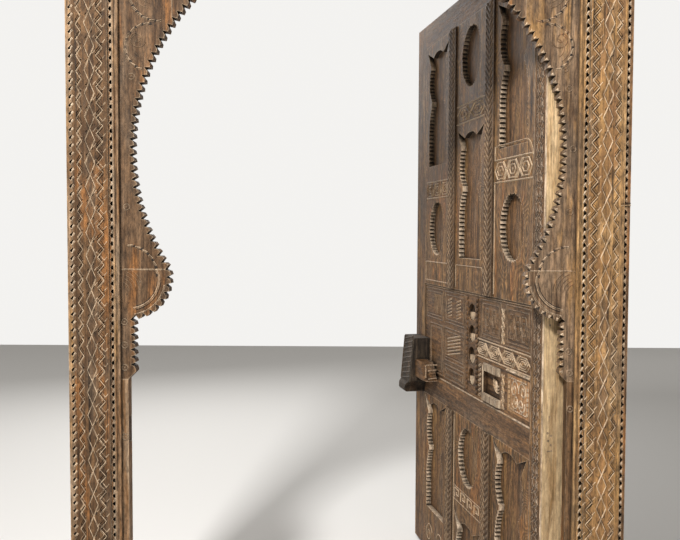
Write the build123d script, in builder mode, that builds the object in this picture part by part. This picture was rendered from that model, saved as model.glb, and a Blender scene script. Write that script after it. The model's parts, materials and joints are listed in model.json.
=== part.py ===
"""Carved arched doorway with one open leaf, in millimetres.

The frame stands on the floor at Z = 0 and faces -Y, with X = 0 on its centre line and Y = 0 on the
front of the posts and of the arch boards. The leaf turns on two wooden pintles that are cut in one
with its hinge stile, and stands open. A draw bolt slides through a wooden case on the leaf's face.
"""
from build123d import *
from math import acos, asin, degrees, hypot, sqrt
import os

os.makedirs("parts", exist_ok=True)

# Overall sizes of the frame
frame_width = 1720
frame_height = 2950
post_width = 150
post_depth = 150
head_height = 160

# Facing of the posts and head, from the outer edge inwards
facing_thickness = 15
outer_teeth_width = 19
outer_teeth_back = 7
casing_width = 110
inner_teeth_width = 11
inner_teeth_back = 2
bead_width = 20
bead_radius = 4
bead_recess = 1
teeth_pitch = 24.5
teeth_proud = 13

# Horseshoe arch, sawn in boards with a toothed edge
arch_thickness = 40
arch_waist = 38
crown_height = 383
arch_seam = 538
arch_tooth_pitch = 25
arch_tooth_depth = 16
lobe_seam_drop = 367
lobe_centre_inset = 35
lobe_centre_drop = 393
toothed_strip_width = 38
toothed_strip_end_drop = 685
reveal_width = 30

# Sill, with the ear that holds the bottom pintle, and the rail that holds the top one
sill_height = 60
sill_nosing = 20
sill_nosing_inset = 12
sill_round = 12
ear_height = 40
ear_clearance = 2
head_rail_height = 100

# Leaf and its pintles
open_angle = 78.3
leaf_thickness = 70
leaf_cover = 27
floor_clearance = 15
head_clearance = 10
post_clearance = 7
free_clearance = 10
swing_clearance = 2.8
stile_width = 95
free_stile_width = 130
pivot_inset = 45
pivot_depth = 40
pintle_radius = 22
pintle_length = 50
pintle_clearance = 0.08
bearing_gap = 3
pintle_end_gap = 0.3
bottom_pintle_depth = 30

# Front layer of the leaf
face_layer = 22
muntin_width = 81
muntin_proud = 4
mid_rail_base = 740
mid_rail_height = 100
lock_rail_height = 410
lock_rail_recess = 5
top_rail_height = 104

# Niches, cut through the front layer, with ribbed edges, inside margins at the sides of each column
rib_pitch = 17
rib_depth = 7
crown_steps = 5
ear_margin = 20
lobe_margin = 42
niche_margin = 44
cusp_margin = 84
oval_margin = 59
ear_rise = 14
ear_foot_angle = 35
ear_neck_angle = 58
shoulder_share = 0.57
upper_niche_share = 0.477
upper_oval_share = 0.226
upper_foot_margin = 132
upper_head_margin = 30
lower_niche_height = 515
lower_head_margin = 10
lower_oval_height = 244
lower_oval_margin = 35
low_niche_centre = 185

# Openings of the lock rail
lens_x = 740
lens_half_width = 37
lens_half_height = 34
lens_pitch = 85
lens_count = 4
lens_top_margin = 77
key_niche_width = 160
key_niche_height = 116
key_niche_depth = 15
key_niche_x = 950
key_niche_base = 28

# Boards and battens of the back
board_count = 4
batten_thickness = 30
batten_height = 120
batten_free_inset = 60
batten_pivot_gap = 100
batten_end_margin = 110
batten_middle_height = 1000
batten_chamfer = 8

# Wooden lock, its case hollowed at the lower right corner, and its bolt with a thinner tongue
case_x = 40
case_width = 155
case_foot_gap = 2
case_height = 258
case_top_depth = 70
case_low_depth = 88
case_foot_depth = 98
case_foot_height = 34
case_foot_slope = 16
case_foot_round = 14
case_hollow_radius = 62
bolt_height = 76
bolt_thickness = 56
tongue_thickness = 44
bolt_back = 8
bolt_rise = 85
bolt_clearance = 0.5
bolt_inset = 5
bolt_throw = 85
bolt_grip = 6
bolt_end_slant = 62
bolt_round = 20
mortise_play = 3
mortise_end_gap = 6

# Places worked out from the sizes above
half_width = frame_width / 2
half_clear = half_width - post_width
head_base = frame_height - head_height
arch_radius = half_clear - arch_waist
arch_top = head_base - crown_height
arch_centre_height = arch_top - arch_radius
lobe_seam_height = arch_centre_height - lobe_seam_drop
lobe_centre = (lobe_centre_inset - half_clear, arch_centre_height - lobe_centre_drop)
strip_edge = toothed_strip_width - half_clear
strip_end = arch_centre_height - toothed_strip_end_drop
strip_foot = strip_end - (toothed_strip_width + arch_tooth_depth - reveal_width)
leaf_top = arch_top + leaf_cover
case_base = mid_rail_base + case_foot_gap
bolt_base = case_base + bolt_rise

corner_radius = hypot(pivot_inset, pivot_depth)
back_corner_radius = hypot(pivot_inset, leaf_thickness - pivot_depth)
leaf_hinge_edge = half_clear - post_clearance - (back_corner_radius - pivot_inset)
leaf_free_edge = free_clearance - half_clear
leaf_width = leaf_hinge_edge - leaf_free_edge
leaf_setback = arch_thickness + swing_clearance + corner_radius - pivot_depth
pivot = Vector(leaf_hinge_edge - pivot_inset, leaf_setback + pivot_depth)

stile_x = leaf_width - stile_width
bolt_start = case_x + bolt_inset
bolt_end = case_x + case_width + bolt_throw + bolt_grip
mortise_depth = bolt_throw - bolt_start - free_clearance + mortise_end_gap
zone_base = mid_rail_base + mid_rail_height + lock_rail_height
zone_top = leaf_top - top_rail_height
field_width = (stile_x - free_stile_width - 2 * muntin_width) / 3
column_pitch = field_width + muntin_width
ear_reach = field_width / 2 - ear_margin
lobe_radius = field_width / 2 - lobe_margin
niche_reach = field_width / 2 - niche_margin
cusp_reach = field_width / 2 - cusp_margin
oval_reach = field_width / 2 - oval_margin
upper_niche_height = upper_niche_share * (zone_top - zone_base)
upper_oval_height = upper_oval_share * (zone_top - zone_base)


def opened(vector):
    """A vector of the closed leaf, turned to the open leaf."""
    return Vector(vector).rotate(Axis.Z, -open_angle)


leaf_face = Plane(
    origin=opened(Vector(leaf_free_edge, leaf_setback) - pivot) + pivot,
    x_dir=opened((1, 0, 0)),
    z_dir=opened((0, -1, 0)),
)


def frame_plane(depth):
    """Front view plane at a depth behind the posts' front: x is X, y is Z."""
    return Plane.XZ.offset(-depth)


def leaf_plane(depth):
    """Front view plane of the leaf: x runs from its free edge to its hinge edge, y is Z."""
    return leaf_face.offset(-depth)


def save(piece, name):
    """Label one piece and write its STEP file."""
    piece.part.label = name
    export_step(piece.part, f"parts/{name}.step")


def save_mirrored(piece, name):
    """Write the same piece for the other side of the frame."""
    with BuildPart() as other:
        mirror(piece.part, about=Plane.YZ)
    save(other, name)


def toothed(path, pitch, depth, shape):
    """Points of a row of teeth that rise to the left of a path."""
    count = max(1, round(path.length / pitch))
    points = []
    for tooth in range(count):
        for along, rise in shape:
            place = (tooth + along) / count
            heading = path % place
            points.append(path @ place + Vector(-heading.Y, heading.X) * (rise * depth))
    return points


def box_between(low, high, plane, thickness):
    """A board between two corners of a view plane, as thick as asked, in its own builder."""
    with BuildPart() as board:
        with BuildSketch(plane):
            with Locations(((low[0] + high[0]) / 2, (low[1] + high[1]) / 2)):
                Rectangle(high[0] - low[0], high[1] - low[1])
        extrude(amount=thickness)
    return board


def outline_board(outlines, plane, thickness):
    """A board whose first outline is its edge and whose other outlines are cut through it."""
    with BuildPart() as board:
        with BuildSketch(plane):
            for outline in outlines:
                with BuildLine():
                    Polyline(*outline, close=True)
                make_face(mode=Mode.ADD if outline is outlines[0] else Mode.SUBTRACT)
        extrude(amount=thickness)
    return board


saw_tooth = ((0, 0), (0.5, 1))
rounded_tooth = ((0, 0), (0.3, 0.8), (0.72, 1))
rib = ((0, 0), (0.35, 1))

# Posts, with the bolt's mortise in the left one
post = box_between((half_clear, 0), (half_width, head_base), frame_plane(post_depth), post_depth)
save(post, "post_right")

tongue_front_y = leaf_setback - bolt_back - tongue_thickness
tongue_back_y = leaf_setback - bolt_back
mortise_low = (tongue_front_y - mortise_play, bolt_base - mortise_play)
mortise_high = (tongue_back_y + mortise_play, bolt_base + bolt_height + mortise_play)
mortise_size = (mortise_high[0] - mortise_low[0], mortise_high[1] - mortise_low[1])
mortise_centre = ((mortise_low[0] + mortise_high[0]) / 2, (mortise_low[1] + mortise_high[1]) / 2)

with BuildPart() as post_left:
    with BuildSketch(frame_plane(post_depth)):
        with Locations((-half_clear - post_width / 2, head_base / 2)):
            Rectangle(post_width, head_base)
    extrude(amount=post_depth)
    with BuildSketch(Plane.YZ.offset(-half_clear)):
        with Locations(mortise_centre):
            Rectangle(*mortise_size)
    extrude(amount=-mortise_depth, mode=Mode.SUBTRACT)
save(post_left, "post_left")

# Head beam, laid across the posts
head_beam = box_between(
    (-half_width, head_base), (half_width, frame_height), frame_plane(post_depth), post_depth
)
save(head_beam, "head_beam")

# Head rail behind the arch boards, with the socket of the top pintle
head_rail_base = leaf_top + head_clearance
with BuildPart() as head_rail:
    with BuildSketch(Plane.XY.offset(head_rail_base)):
        with Locations((0, (arch_thickness + post_depth) / 2)):
            Rectangle(2 * half_clear, post_depth - arch_thickness)
        with Locations(pivot):
            Circle(pintle_radius + pintle_clearance, mode=Mode.SUBTRACT)
    extrude(amount=head_rail_height)
save(head_rail, "head_rail")

# Sill with a rounded nosing, and the ear behind it with the socket of the bottom pintle
ear_radius = stile_width - pivot_inset - ear_clearance
with BuildPart() as sill:
    with BuildSketch(frame_plane(arch_thickness)):
        with Locations((0, sill_height / 2)):
            Rectangle(2 * half_clear, sill_height)
    extrude(amount=arch_thickness)
    with BuildSketch(frame_plane(0)):
        with Locations((0, sill_height / 2)):
            Rectangle(2 * (half_clear - sill_nosing_inset), sill_height)
    extrude(amount=sill_nosing)
    nosing = sill.edges().filter_by(Axis.X).group_by(Axis.Y)[0].sort_by(Axis.Z)[-1]
    fillet(nosing, radius=sill_round)
    with BuildSketch(Plane.XY):
        web_left = pivot.X - ear_radius
        web_back = pivot.Y + ear_radius
        with Locations(((web_left + half_clear) / 2, (arch_thickness + pivot.Y) / 2)):
            Rectangle(half_clear - web_left, pivot.Y - arch_thickness)
        with Locations(((pivot.X + half_clear) / 2, (pivot.Y + web_back) / 2)):
            Rectangle(half_clear - pivot.X, web_back - pivot.Y)
        with Locations(pivot):
            Circle(ear_radius)
    extrude(amount=ear_height)
    with BuildSketch(Plane.XY.offset(ear_height)):
        with Locations(pivot):
            Circle(pintle_radius + pintle_clearance)
    extrude(amount=-bottom_pintle_depth, mode=Mode.SUBTRACT)
save(sill, "sill")


def ring_places(offset, width):
    """Corners of a facing strip on the right jamb and on the head, at an offset from the edge."""
    outer = half_width - offset
    top = frame_height - offset
    jamb = ((outer - width, 0), (outer, top))
    head = ((width - outer, top - width), (outer - width, top))
    return jamb, head


# Carved casing boards
casing_offset = outer_teeth_width
jamb, head = ring_places(casing_offset, casing_width)
casing = box_between(*jamb, frame_plane(0), facing_thickness)
save(casing, "casing_right")
save_mirrored(casing, "casing_left")
save(box_between(*head, frame_plane(0), facing_thickness), "casing_head")


def toothed_strip(low, high, back, upright):
    """A strip whose teeth point to the opening, from a straight back on its outer side."""
    if upright:
        edge = Line((high[0] - back, low[1]), (high[0] - back, high[1]))
        rise = high[0] - low[0] - back
        corners = [(high[0], high[1]), (high[0], low[1])]
    else:
        edge = Line((high[0], high[1] - back), (low[0], high[1] - back))
        rise = high[1] - low[1] - back
        corners = [(low[0], high[1]), (high[0], high[1])]
    teeth = toothed(edge, teeth_pitch, rise, saw_tooth)
    return outline_board([teeth + [edge @ 1] + corners], frame_plane(0), teeth_proud)


# Toothed strips on both sides of the casing
jamb, head = ring_places(0, outer_teeth_width)
outer_teeth = toothed_strip(*jamb, outer_teeth_back, True)
save(outer_teeth, "outer_teeth_right")
save_mirrored(outer_teeth, "outer_teeth_left")
save(toothed_strip(*head, outer_teeth_back, False), "outer_teeth_head")

inner_offset = casing_offset + casing_width
jamb, head = ring_places(inner_offset, inner_teeth_width)
inner_teeth = toothed_strip(*jamb, inner_teeth_back, True)
save(inner_teeth, "inner_teeth_right")
save_mirrored(inner_teeth, "inner_teeth_left")
save(toothed_strip(*head, inner_teeth_back, False), "inner_teeth_head")


def bead_strip(plane, low, high, length):
    """A moulding with a flat back and two round beads in front, run along its plane's normal."""
    flat = facing_thickness - bead_radius - bead_recess
    with BuildPart() as moulding:
        with BuildSketch(plane):
            with Locations(((low + high) / 2, flat / 2)):
                Rectangle(high - low, flat)
            with Locations((low + bead_radius, flat), (high - bead_radius, flat)):
                Circle(bead_radius)
        extrude(amount=length)
    return moulding


# Bead mouldings, whose inner half laps over the arch boards
bead_offset = inner_offset + inner_teeth_width
jamb, head = ring_places(bead_offset, bead_width)
jamb_section = Plane(origin=(0, 0, 0), x_dir=(1, 0, 0), z_dir=(0, 0, -1))
bead = bead_strip(jamb_section, jamb[0][0], jamb[1][0], -jamb[1][1])
save(bead, "bead_right")
save_mirrored(bead, "bead_left")
head_section = Plane(origin=(head[0][0], 0, 0), x_dir=(0, 0, 1), z_dir=(1, 0, 0))
save(bead_strip(head_section, head[0][1], head[1][1], head[1][0] - head[0][0]), "bead_head")

# Arch boards with their toothed edge
seam_angle = degrees(acos(arch_seam / arch_radius))
foot_angle = degrees(asin(lobe_seam_drop / arch_radius))
arch_centre = (0, arch_centre_height)

crown_path = CenterArc(arch_centre, arch_radius, seam_angle, 180 - 2 * seam_angle)
crown = toothed(crown_path, arch_tooth_pitch, arch_tooth_depth, rounded_tooth)
crown_corners = [crown_path @ 1, (-arch_seam, head_base), (arch_seam, head_base)]
arch_board = outline_board([crown + crown_corners], frame_plane(arch_thickness), arch_thickness)
save(arch_board, "arch_board_centre")

side_path = CenterArc(arch_centre, arch_radius, 180 - seam_angle, seam_angle + foot_angle)
side = toothed(side_path, arch_tooth_pitch, arch_tooth_depth, rounded_tooth)
side_corners = [
    side_path @ 1, (-half_clear, lobe_seam_height), (-half_clear, head_base), (-arch_seam, head_base)
]
side_board = outline_board([side + side_corners], frame_plane(arch_thickness), arch_thickness)
save(side_board, "arch_board_left")
save_mirrored(side_board, "arch_board_right")

# Round lobe at the foot of the arch, which runs into a short toothed strip
horn = Vector(-sqrt(arch_radius**2 - lobe_seam_drop**2), lobe_seam_height) - Vector(*lobe_centre)
foot_lobe_radius = horn.length
lobe_start = degrees(asin(horn.Y / foot_lobe_radius))
lobe_end = -degrees(acos((strip_edge + arch_tooth_depth - lobe_centre[0]) / foot_lobe_radius))
lobe_path = CenterArc(lobe_centre, foot_lobe_radius, lobe_start, lobe_end - lobe_start)
strip_start = (lobe_path @ 1) - Vector(arch_tooth_depth, arch_tooth_depth)
strip_path = Line(strip_start, (strip_edge, strip_end))
lobe = toothed(lobe_path, arch_tooth_pitch, arch_tooth_depth, rounded_tooth)
strip = toothed(strip_path, arch_tooth_pitch, arch_tooth_depth, rounded_tooth)
lobe_edge = lobe + [lobe_path @ 1] + strip
lobe_corners = [
    (strip_edge + arch_tooth_depth, strip_end), (reveal_width - half_clear, strip_foot),
    (-half_clear, strip_foot),
    (-half_clear, lobe_seam_height),
]
lobe_board = outline_board([lobe_edge + lobe_corners], frame_plane(arch_thickness), arch_thickness)
save(lobe_board, "lobe_board_left")
save_mirrored(lobe_board, "lobe_board_right")

# Plain reveal strips between the sill and the lobes, the left one notched behind for the bolt
reveal_edge = half_clear - reveal_width
reveal = box_between(
    (reveal_edge, sill_height), (half_clear, strip_foot), frame_plane(arch_thickness), arch_thickness
)
save(reveal, "reveal_strip_right")

with BuildPart() as reveal_left:
    with BuildSketch(frame_plane(arch_thickness)):
        with Locations((-half_clear + reveal_width / 2, (sill_height + strip_foot) / 2)):
            Rectangle(reveal_width, strip_foot - sill_height)
    extrude(amount=arch_thickness)
    with BuildSketch(Plane.YZ.offset(-reveal_edge)):
        with Locations(mortise_centre):
            Rectangle(*mortise_size)
    extrude(amount=-reveal_width, mode=Mode.SUBTRACT)
save(reveal_left, "reveal_strip_left")

# Hinge stile with its two pintles, shortened at the foot to ride over the sill's ear
stile_foot = ear_height + bearing_gap
pintle_foot = ear_height - bottom_pintle_depth + pintle_end_gap
with BuildPart() as hinge_stile:
    with BuildSketch(leaf_plane(leaf_thickness)):
        with Locations((stile_x + stile_width / 2, (stile_foot + leaf_top) / 2)):
            Rectangle(stile_width, leaf_top - stile_foot)
    extrude(amount=leaf_thickness)
    with BuildSketch(Plane.XY.offset(leaf_top)):
        with Locations(pivot):
            Circle(pintle_radius)
    extrude(amount=pintle_length)
    with BuildSketch(Plane.XY.offset(pintle_foot)):
        with Locations(pivot):
            Circle(pintle_radius)
    extrude(amount=stile_foot - pintle_foot)
save(hinge_stile, "hinge_stile")

free_stile = box_between(
    (0, floor_clearance), (free_stile_width, leaf_top), leaf_plane(leaf_thickness), leaf_thickness
)
save(free_stile, "free_stile")

# Boards behind the carved layer
board_width = (stile_x - free_stile_width) / board_count
for number in range(board_count):
    left = free_stile_width + number * board_width
    board = box_between(
        (left, floor_clearance), (left + board_width, leaf_top),
        leaf_plane(leaf_thickness), leaf_thickness - face_layer,
    )
    save(board, f"back_board_{number + 1}")

# Battens across the back, with their outer edges chamfered
batten_end = leaf_width - pivot_inset - batten_pivot_gap
batten_places = {
    "low": floor_clearance + batten_end_margin,
    "middle": batten_middle_height,
    "high": leaf_top - batten_end_margin - batten_height,
}
for place, base in batten_places.items():
    with BuildPart() as batten:
        with BuildSketch(leaf_plane(leaf_thickness + batten_thickness)):
            with Locations(((batten_free_inset + batten_end) / 2, base + batten_height / 2)):
                Rectangle(batten_end - batten_free_inset, batten_height)
        extrude(amount=batten_thickness)
        outer_face = batten.faces().sort_by(Axis((0, 0, 0), leaf_face.z_dir))[0]
        chamfer(outer_face.edges(), length=batten_chamfer)
    save(batten, f"batten_{place}")

# Rails and muntins of the carved layer
rail_layer = (leaf_plane(face_layer), face_layer)
top_rail = box_between((free_stile_width, zone_top), (stile_x, leaf_top), *rail_layer)
save(top_rail, "top_rail")
mid_rail_top = mid_rail_base + mid_rail_height
mid_rail = box_between((free_stile_width, mid_rail_base), (stile_x, mid_rail_top), *rail_layer)
save(mid_rail, "mid_rail")

for number in (1, 2):
    left = free_stile_width + number * column_pitch - muntin_width
    for zone, low, high in (("lower", floor_clearance, mid_rail_base), ("upper", zone_base, zone_top)):
        muntin = box_between(
            (left, low), (left + muntin_width, high), leaf_plane(face_layer), face_layer + muntin_proud
        )
        save(muntin, f"muntin_{zone}_{number}")


def closed_outline(right_side, centre_x, base):
    """The right half of an outline, from the bottom up, joined to its mirror image."""
    right = [Vector(centre_x + point.X, base + point.Y) for point in right_side]
    left = [Vector(centre_x - point.X, base + point.Y) for point in reversed(right_side)]
    return right + left


def lobe_side(centre_height, start_angle):
    """Right side of a lobe with a pointed ear at its shoulder, up to the crown."""
    centre = (0, centre_height)
    flank = CenterArc(centre, lobe_radius, start_angle, ear_foot_angle - start_angle)
    crown_arc = CenterArc(centre, lobe_radius, ear_neck_angle, 90 - ear_neck_angle)
    ear_tip = Vector(ear_reach, centre_height + lobe_radius + ear_rise)
    crown_points = [crown_arc @ (step / crown_steps) for step in range(crown_steps)]
    return toothed(flank, rib_pitch, rib_depth, rib) + [flank @ 1, ear_tip] + crown_points


def tall_niche(centre_x, base, height):
    """Outline of a niche with straight sides below, two cusps and an eared lobe above."""
    lobe_height = height - ear_rise - lobe_radius
    cusp_angle = -degrees(acos(cusp_reach / lobe_radius))
    cusp = CenterArc((0, lobe_height), lobe_radius, cusp_angle, 90) @ 0
    side = Line((niche_reach, 0), (niche_reach, shoulder_share * cusp.Y))
    shoulder = TangentArc(side @ 1, cusp, tangent=(0, 1))
    low_side = toothed(side, rib_pitch, rib_depth, rib) + toothed(shoulder, rib_pitch, rib_depth, rib)
    return closed_outline(low_side + lobe_side(lobe_height, cusp_angle), centre_x, base)


def low_niche(centre_x, centre_height):
    """Outline of a single eared lobe."""
    return closed_outline(lobe_side(0, -90), centre_x, centre_height)


def oval_niche(centre_x, base, height):
    """Outline of an oval niche."""
    oval = EllipticalCenterArc((0, height / 2), oval_reach, height / 2, start_angle=-90, arc_size=180)
    return closed_outline(toothed(oval, rib_pitch, rib_depth, rib), centre_x, base)


# Niche boards of the three columns, the middle one with its niches the other way up
upper_foot = zone_base + upper_foot_margin
upper_head = zone_top - upper_head_margin
lower_head = mid_rail_base - lower_head_margin
for column in range(3):
    left = free_stile_width + column * column_pitch
    centre_x = left + field_width / 2
    if column == 1:
        upper = [
            tall_niche(centre_x, upper_foot, upper_niche_height),
            oval_niche(centre_x, upper_head - upper_oval_height, upper_oval_height),
        ]
        lower = [
            oval_niche(centre_x, mid_rail_base - lower_oval_margin - lower_oval_height, lower_oval_height),
            low_niche(centre_x, low_niche_centre),
        ]
    else:
        upper = [
            oval_niche(centre_x, upper_foot, upper_oval_height),
            tall_niche(centre_x, upper_head - upper_niche_height, upper_niche_height),
        ]
        lower = [tall_niche(centre_x, lower_head - lower_niche_height, lower_niche_height)]
    for zone, low, high, niches in (
        ("lower", floor_clearance, mid_rail_base, lower),
        ("upper", zone_base, zone_top, upper),
    ):
        edge = [(left, low), (left + field_width, low), (left + field_width, high), (left, high)]
        field = outline_board([edge, *niches], leaf_plane(face_layer), face_layer)
        save(field, f"niche_board_{zone}_{column + 1}")

# Lock rail, set back from the mid rail, with a column of sunk lenses and the key niche
lock_rail_thickness = face_layer - lock_rail_recess
with BuildSketch() as lens:
    with BuildLine():
        left_tip = (-lens_half_width, 0)
        right_tip = (lens_half_width, 0)
        ThreePointArc(left_tip, (0, lens_half_height), right_tip)
        ThreePointArc(right_tip, (0, -lens_half_height), left_tip)
    make_face()

lens_places = [(lens_x, zone_base - lens_top_margin - step * lens_pitch) for step in range(lens_count)]
with BuildPart() as lock_rail:
    with BuildSketch(leaf_plane(face_layer)):
        with Locations(((free_stile_width + stile_x) / 2, (mid_rail_top + zone_base) / 2)):
            Rectangle(stile_x - free_stile_width, lock_rail_height)
        with Locations(*lens_places):
            add(lens.sketch, mode=Mode.SUBTRACT)
    extrude(amount=lock_rail_thickness)
    with BuildSketch(leaf_plane(lock_rail_recess)):
        with Locations((key_niche_x, mid_rail_top + key_niche_base + key_niche_height / 2)):
            Rectangle(key_niche_width, key_niche_height)
    extrude(amount=-key_niche_depth, mode=Mode.SUBTRACT)
save(lock_rail, "lock_rail")

# Lock case, drawn in a section across the leaf, with the bolt's channel through it
case_end = case_x + case_width
case_section = Plane(
    origin=leaf_face.from_local_coords((case_end, 0, 0)), x_dir=leaf_face.z_dir, z_dir=-leaf_face.x_dir
)
case_top = case_base + case_height
foot_top = case_base + case_foot_height
with BuildPart() as lock_case:
    with BuildSketch(case_section) as profile:
        with BuildLine():
            Polyline(
                (0, case_base), (case_foot_depth, case_base), (case_foot_depth, foot_top),
                (case_low_depth, foot_top + case_foot_slope), (case_top_depth, case_top),
                (0, case_top), close=True,
            )
        make_face()
        foot_corners = profile.vertices().group_by(Axis.X)[-1]
        fillet(foot_corners, radius=case_foot_round)
    extrude(amount=case_width)
    with BuildSketch(case_section):
        with Locations((bolt_back + bolt_thickness / 2, bolt_base + bolt_height / 2)):
            Rectangle(bolt_thickness + 2 * bolt_clearance, bolt_height + 2 * bolt_clearance)
    extrude(amount=case_width, mode=Mode.SUBTRACT)
    with BuildSketch(leaf_plane(0)):
        with Locations((case_end, case_base)):
            Circle(case_hollow_radius)
    extrude(amount=case_foot_depth, mode=Mode.SUBTRACT)
save(lock_case, "lock_case")

# Draw bolt, thinner along the tongue that enters the post, with a slanted end to pull it by
shoulder = bolt_start + bolt_throw
bolt_top = bolt_base + bolt_height
with BuildPart() as draw_bolt:
    with BuildSketch(leaf_plane(-bolt_back)):
        with BuildLine():
            Polyline(
                (shoulder, bolt_base), (bolt_end + bolt_end_slant, bolt_base), (bolt_end, bolt_top),
                (shoulder, bolt_top), close=True,
            )
        make_face()
    extrude(amount=bolt_thickness)
    with BuildSketch(leaf_plane(-bolt_back)):
        with Locations(((bolt_start + shoulder) / 2, bolt_base + bolt_height / 2)):
            Rectangle(bolt_throw, bolt_height)
    extrude(amount=tongue_thickness)
    end_face = draw_bolt.faces().sort_by(Axis((0, 0, 0), leaf_face.x_dir))[-1]
    front_edge = end_face.edges().sort_by(Axis((0, 0, 0), leaf_face.z_dir))[-1]
    fillet(front_edge, radius=bolt_round)
save(draw_bolt, "draw_bolt")
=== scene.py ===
"""Looks of the carved doorway with its open leaf: aged wood, chip carving and worn edges.

Carving is made flat on a bench, where x runs along the wood, y up it and z out of its face, and is
then laid on the frame's front or on the leaf's face. Sizes are in metres.
"""
import json
import math
from functools import partial

import bpy
from mathutils import Matrix, Vector


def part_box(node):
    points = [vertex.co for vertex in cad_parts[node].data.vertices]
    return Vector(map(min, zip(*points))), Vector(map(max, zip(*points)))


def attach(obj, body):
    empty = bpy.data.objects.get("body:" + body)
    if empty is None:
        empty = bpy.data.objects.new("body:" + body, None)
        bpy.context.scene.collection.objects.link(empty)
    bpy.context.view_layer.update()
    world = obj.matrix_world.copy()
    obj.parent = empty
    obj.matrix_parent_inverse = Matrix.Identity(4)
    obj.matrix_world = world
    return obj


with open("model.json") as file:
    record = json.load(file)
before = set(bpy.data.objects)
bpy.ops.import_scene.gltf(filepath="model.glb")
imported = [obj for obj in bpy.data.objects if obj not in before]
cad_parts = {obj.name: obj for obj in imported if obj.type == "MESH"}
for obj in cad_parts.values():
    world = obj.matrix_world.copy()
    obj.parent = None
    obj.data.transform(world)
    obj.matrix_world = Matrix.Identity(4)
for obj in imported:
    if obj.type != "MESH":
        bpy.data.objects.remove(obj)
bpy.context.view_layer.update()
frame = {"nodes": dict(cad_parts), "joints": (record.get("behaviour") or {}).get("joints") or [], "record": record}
nodes = frame["nodes"]
hinge = next(joint for joint in frame["joints"] if joint["type"] == "hinge")
open_angle = math.radians(hinge["range_deg"][1])

# Directions of the open leaf: along it from the free edge to the hinge, and out of its carved face
leaf_along = Vector((math.cos(open_angle), -math.sin(open_angle), 0))
leaf_out = Vector((-math.sin(open_angle), -math.cos(open_angle), 0))
upright = Vector((0, 0, 1))


def leaf_extent(node):
    """Lowest and highest place of a leaf node along the leaf, up it and out of its face."""
    points = [vertex.co - leaf_corner for vertex in nodes[node].data.vertices]
    places = [(p.dot(leaf_along), p.z, p.dot(leaf_out)) for p in points]
    return [min(column) for column in zip(*places)], [max(column) for column in zip(*places)]


leaf_corner = Vector((0, 0, 0))
stile_low, stile_high = leaf_extent("free_stile")
leaf_corner = leaf_along * stile_low[0] + leaf_out * stile_high[2]


def bench_place(x_way, y_way, z_way, origin):
    """The move that turns a bench's three directions to those given and puts it at an origin."""
    return Matrix([(*x_way, 0), (*y_way, 0), (*z_way, 0), (*origin, 1)]).transposed()


on_frame = bench_place((1, 0, 0), upright, (0, -1, 0), (0, 0, 0))
on_leaf = bench_place(leaf_along, upright, leaf_out, leaf_corner)


def deselect():
    """Leave nothing selected, so that an operator acts on the new piece alone."""
    if bpy.context.object and bpy.context.object.mode != "OBJECT":
        bpy.ops.object.mode_set(mode="OBJECT")
    bpy.ops.object.select_all(action="DESELECT")


# Aged wood


def feed(tree, node, values):
    """Link or set a node's inputs, given as pairs of a number or name and a socket or fixed value."""
    for key, value in values:
        if hasattr(value, "is_linked"):
            tree.links.new(value, node.inputs[key])
        else:
            node.inputs[key].default_value = value


def add_node(tree, kind, **settings):
    """A shader node with its settings and inputs, at the next place in rows of eight."""
    row, column = divmod(len(tree.nodes), 8)
    node = tree.nodes.new(kind)
    node.location = (column * 220, -row * 330)
    for name, value in settings.items():
        if name in node.inputs:
            feed(tree, node, [(name, value)])
        else:
            setattr(node, name, value)
    return node


def mix_colours(tree, factor, below, above, blend="MIX"):
    """A mix of two colours. Factor, below and above are sockets or fixed values."""
    node = add_node(tree, "ShaderNodeMix", data_type="RGBA", blend_type=blend)
    feed(tree, node, ((0, factor), (6, below), (7, above)))
    return node.outputs[2]


def calculate(tree, operation, first, second):
    """The result of one step of arithmetic on two sockets or fixed values."""
    node = add_node(tree, "ShaderNodeMath", operation=operation)
    feed(tree, node, ((0, first), (1, second)))
    return node.outputs[0]


def ramp(tree, source, stops):
    """A colour ramp from a value, with its stops as (position, grey)."""
    node = add_node(tree, "ShaderNodeValToRGB", Fac=source)
    elements = node.color_ramp.elements
    while len(elements) < len(stops):
        elements.new(0.5)
    for element, (position, shade) in zip(elements, stops):
        element.position = position
        element.color = (shade, shade, shade, 1)
    return node.outputs["Color"]


# Colours of the wood, from painted shade in the hollows to worn edges with painted highlights
umber = (0.072, 0.036, 0.015, 1)
brown = (0.205, 0.103, 0.041, 1)
casing_brown = (0.160, 0.086, 0.038, 1)
grey_brown = (0.165, 0.096, 0.050, 1)
weathered = (0.145, 0.098, 0.062, 1)
orange_brown = (0.285, 0.120, 0.036, 1)
warm_brown = (0.270, 0.145, 0.055, 1)
light_brown = (0.300, 0.165, 0.066, 1)
dusty_brown = (0.280, 0.180, 0.105, 1)
rust_brown = (0.460, 0.220, 0.085, 1)
honey = (0.350, 0.190, 0.068, 1)
gold = (0.400, 0.240, 0.105, 1)
tan = (0.330, 0.225, 0.140, 1)
light_tan = (0.460, 0.340, 0.220, 1)
straw = (0.500, 0.400, 0.280, 1)
ochre = (0.820, 0.580, 0.320, 1)
# Pale of the painted highlights on lit faces, facets and ribs, and of pale carving
highlight_pale = (0.700, 0.540, 0.380, 1)
# Near-blacks for painted shade under parts and in notches; the first also darkens the lock's wood
soot_and_shade_black = (0.020, 0.013, 0.008, 1)
shadow_black = (0.030, 0.020, 0.013, 1)
lock_black = (0.052, 0.036, 0.022, 1)
# Worn colours of thin edges, which stand for wear and for painted highlight on lit ridges
rubbed_and_lit = (0.500, 0.380, 0.250)
bright_rubbed_and_lit = (0.680, 0.510, 0.340)
stile_rubbed_and_lit = (0.550, 0.420, 0.300)
rail_rubbed_and_lit = (0.500, 0.380, 0.260)
lock_rubbed_and_lit = (0.200, 0.160, 0.110)

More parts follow.
